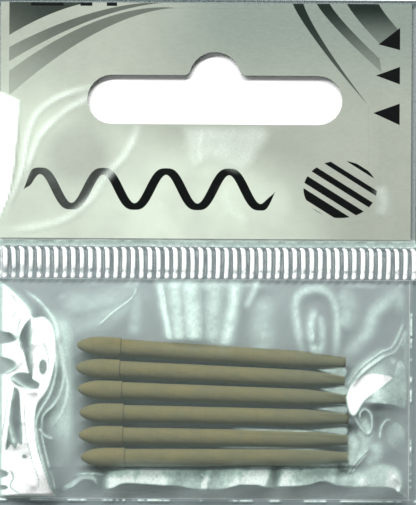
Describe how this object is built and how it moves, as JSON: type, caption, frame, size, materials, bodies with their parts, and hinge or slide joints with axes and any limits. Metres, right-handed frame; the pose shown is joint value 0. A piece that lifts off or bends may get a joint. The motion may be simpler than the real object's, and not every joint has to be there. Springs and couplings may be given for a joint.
{
  "type": "marker nib hanging pack",
  "caption": "Small hanging pack: a slotted header card in clear film, a crimped band, and a welded clear pouch of bullet-headed felt marker nibs lying side by side.",
  "frame": {"origin": "under the middle of the pack, on the surface that its flat back lies on", "axes": "+Y up the pack, from the pouch to the hang slot; +Z out of the pack's front; +X to the right as the front is seen"},
  "size_m": [0.0534, 0.0636, 0.0035],
  "materials": {
    "printed_card": "satin pearl silver print",
    "clear_film": "clear, glossy, creased",
    "welded_film": "clear, fused, glossy",
    "nib_felt": "matte pressed fibre"
  },
  "bodies": {
    "pouch": {"pouch_film_back": "clear_film", "pouch_film_front": "clear_film", "crimp_seal": "welded_film", "left_weld": "welded_film", "right_weld": "welded_film", "bottom_weld": "welded_film"},
    "header": {"header_card": "printed_card", "header_film_front": "clear_film", "header_film_back": "clear_film", "header_edge_weld": "welded_film"},
    "nib_1": {"nib_1": "nib_felt"},
    "nib_2": {"nib_2": "nib_felt"},
    "nib_3": {"nib_3": "nib_felt"},
    "nib_4": {"nib_4": "nib_felt"},
    "nib_5": {"nib_5": "nib_felt"},
    "nib_6": {"nib_6": "nib_felt"}
  },
  "joints": [
    {"name": "header_fold", "type": "hinge", "parent": "pouch", "child": "header", "pos_m": [0, 0.00118, 0.00062], "axis": [1, 0, 0], "range_deg": [0, 150]},
    {"name": "nib_1_slide", "type": "slide", "parent": "pouch", "child": "nib_1", "axis": [0.9982, -0.0593, 0], "range_m": [-0.005, 0.005]},
    {"name": "nib_2_slide", "type": "slide", "parent": "pouch", "child": "nib_2", "axis": [0.9991, -0.0419, 0], "range_m": [-0.005, 0.005]},
    {"name": "nib_3_slide", "type": "slide", "parent": "pouch", "child": "nib_3", "axis": [0.9995, -0.0314, 0], "range_m": [-0.005, 0.005]},
    {"name": "nib_4_slide", "type": "slide", "parent": "pouch", "child": "nib_4", "axis": [0.9998, -0.0175, 0], "range_m": [-0.005, 0.005]},
    {"name": "nib_5_slide", "type": "slide", "parent": "pouch", "child": "nib_5", "axis": [0.9999, -0.0122, 0], "range_m": [-0.005, 0.005]},
    {"name": "nib_6_slide", "type": "slide", "parent": "pouch", "child": "nib_6", "axis": [1, 0.0052, 0], "range_m": [-0.005, 0.005]}
  ]
}
